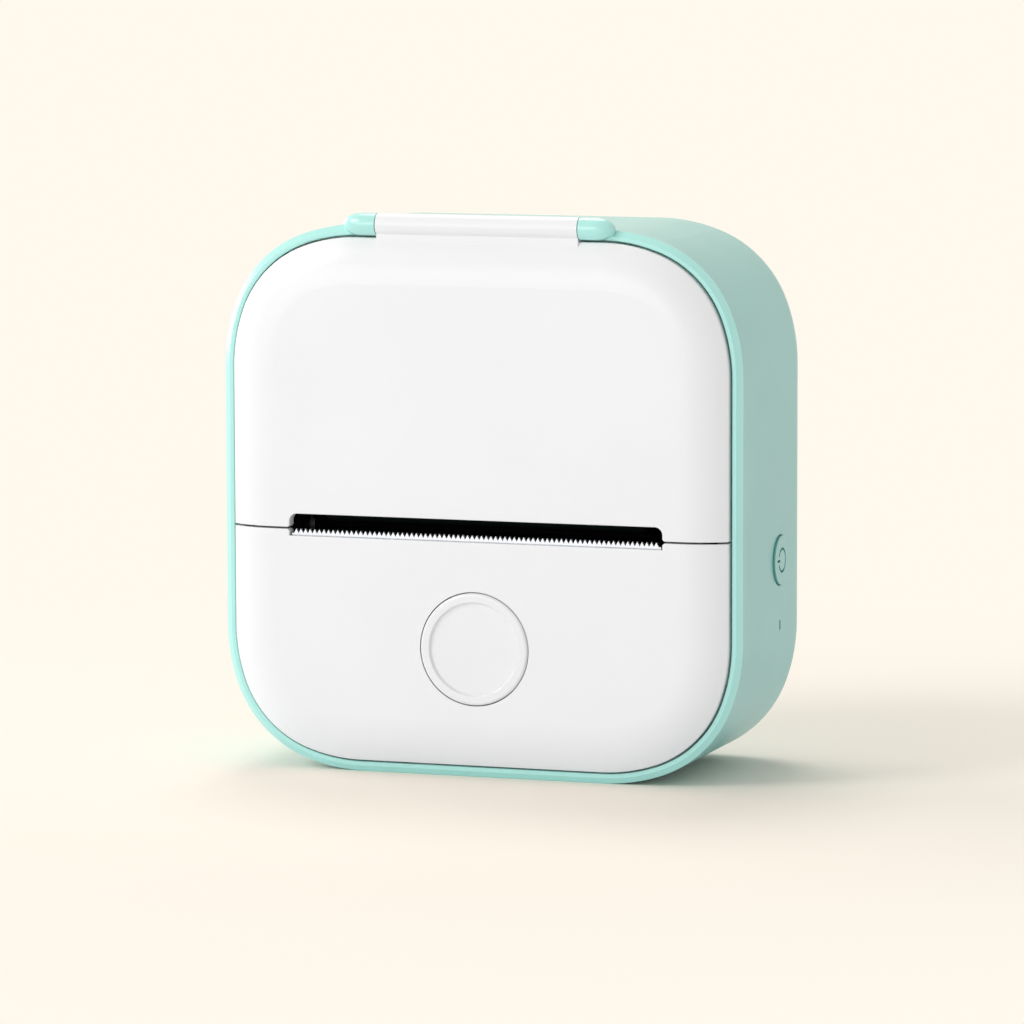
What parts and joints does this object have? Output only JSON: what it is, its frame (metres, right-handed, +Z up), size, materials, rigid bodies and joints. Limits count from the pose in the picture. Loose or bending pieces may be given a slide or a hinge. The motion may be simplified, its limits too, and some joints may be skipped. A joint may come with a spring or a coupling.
{
  "type": "mini sticker printer",
  "caption": "Palm-sized rounded-square thermal sticker printer with a top-hinged front cover, a serrated paper slot and a round front button.",
  "frame": {"origin": "middle of the base of the whole object's box, on the surface it stands on", "axes": "+Z up, -Y towards the white front with the slot and the round button, +X to the right of someone facing the front, the side with the power button"},
  "size_m": [0.0834, 0.0378, 0.0859],
  "materials": {
    "case_mint": "fine satin moulded ABS, mint green",
    "rim_mint": "smooth semi-gloss ABS, brighter mint",
    "panel_white": "smooth semi-gloss white ABS",
    "button_white": "smooth semi-gloss white ABS",
    "tear_metal": "stamped stainless strip",
    "dark_plastic": "black glass-filled moulding",
    "bay_plastic": "pale grey moulding",
    "steel": "bright ground steel",
    "coated_steel": "pressed sheet, black dip coat",
    "aluminium": "milled aluminium plate",
    "ceramic": "glazed ceramic strip",
    "roller_rubber": "ground black silicone rubber",
    "gear_plastic": "natural acetal",
    "brass": "turned brass",
    "board_green": "solder mask on glass laminate",
    "chip_black": "moulded package",
    "socket_white": "nylon connector housing",
    "battery_foil": "aluminium pouch",
    "foam": "adhesive foam",
    "lamp_clear": "translucent light guide",
    "wire_jacket": "PVC wire jacket",
    "flex_film": "polyimide film",
    "motor_steel": "drawn zinc-plated can"
  },
  "bodies": {
    "root": {"rear_housing": "case_mint", "front_bezel": "rim_mint", "hinge_pins": "steel", "lower_front_panel": "panel_white", "tear_bar": "tear_metal", "exit_guide": "dark_plastic", "button_spring": "steel", "latch_pivots": "steel", "latch_spring": "steel", "latch_spring_post": "steel", "power_switch": "chip_black", "led_window": "lamp_clear", "status_led": "socket_white", "side_board": "board_green", "side_board_screws": "steel", "paper_bay": "bay_plastic", "bay_screws": "steel", "paper_sensor": "chip_black", "print_frame": "coated_steel", "frame_screws": "steel", "bezel_screws": "steel", "gear_axle": "steel", "gear_clip": "steel", "stepper_motor": "motor_steel", "motor_screws": "steel", "motor_lead": "wire_jacket", "head_pin": "steel", "head_springs": "steel", "head_flex": "flex_film", "main_board": "board_green", "board_screws": "steel", "board_chips": "chip_black", "board_sockets": "socket_white", "usb_socket": "steel", "reset_switch": "chip_black", "battery_pack": "battery_foil", "battery_pad": "foam", "battery_lead": "wire_jacket"},
    "cover": {"top_cover": "panel_white", "platen_bracket": "coated_steel", "bracket_screws": "steel", "platen_bushes": "dark_plastic"},
    "platen": {"platen_shaft": "steel", "platen_rubber": "roller_rubber", "platen_gear": "gear_plastic"},
    "reduction": {"reduction_gear": "gear_plastic"},
    "rotor": {"motor_shaft": "steel", "motor_pinion": "brass"},
    "head": {"head_strip": "ceramic", "head_driver_cover": "chip_black", "head_sink": "aluminium"},
    "latch": {"latch_lever": "dark_plastic"},
    "release": {"release_button": "button_white"},
    "power": {"power_button": "case_mint"}
  },
  "joints": [
    {"name": "cover_hinge", "type": "hinge", "parent": "root", "child": "cover", "pos_m": [0, -0.0159, 0.08415], "axis": [-1, 0, 0], "range_deg": [0, 100]},
    {"name": "platen_spin", "type": "hinge", "parent": "cover", "child": "platen", "pos_m": [0, -0.01155, 0.0421], "axis": [1, 0, 0], "continuous": true},
    {"name": "reduction_spin", "type": "hinge", "parent": "root", "child": "reduction", "pos_m": [0, -0.00515, 0.03912], "axis": [1, 0, 0], "continuous": true},
    {"name": "motor_spin", "type": "hinge", "parent": "root", "child": "rotor", "pos_m": [0, -0.00043, 0.03023], "axis": [1, 0, 0], "continuous": true},
    {"name": "head_pivot", "type": "hinge", "parent": "root", "child": "head", "pos_m": [0, 0.00093, 0.04168], "axis": [1, 0, 0], "range_deg": [0, 2.5], "stiffness_Nm_per_rad": 0.3, "springref_deg": -5.73, "deforming": ["head_springs"]},
    {"name": "release_press", "type": "slide", "parent": "root", "child": "release", "axis": [0, 1, 0], "range_m": [0, 0.0012], "stiffness_N_per_m": 800, "springref_m": -0.001, "deforming": ["button_spring"]},
    {"name": "latch_pivot", "type": "hinge", "parent": "root", "child": "latch", "pos_m": [0, -0.0035, 0.0285], "axis": [1, 0, 0], "range_deg": [0, 9.8]},
    {"name": "power_press", "type": "slide", "parent": "root", "child": "power", "axis": [-1, 0, 0], "range_m": [0, 0.0004], "stiffness_N_per_m": 1500, "springref_m": -0.0003}
  ],
  "couplings": [
    {"joint": "reduction_spin", "follows": "platen_spin", "ratio": -1.3333},
    {"joint": "motor_spin", "follows": "platen_spin", "ratio": 4},
    {"joint": "latch_pivot", "follows": "release_press", "rad_per_m": 142}
  ]
}
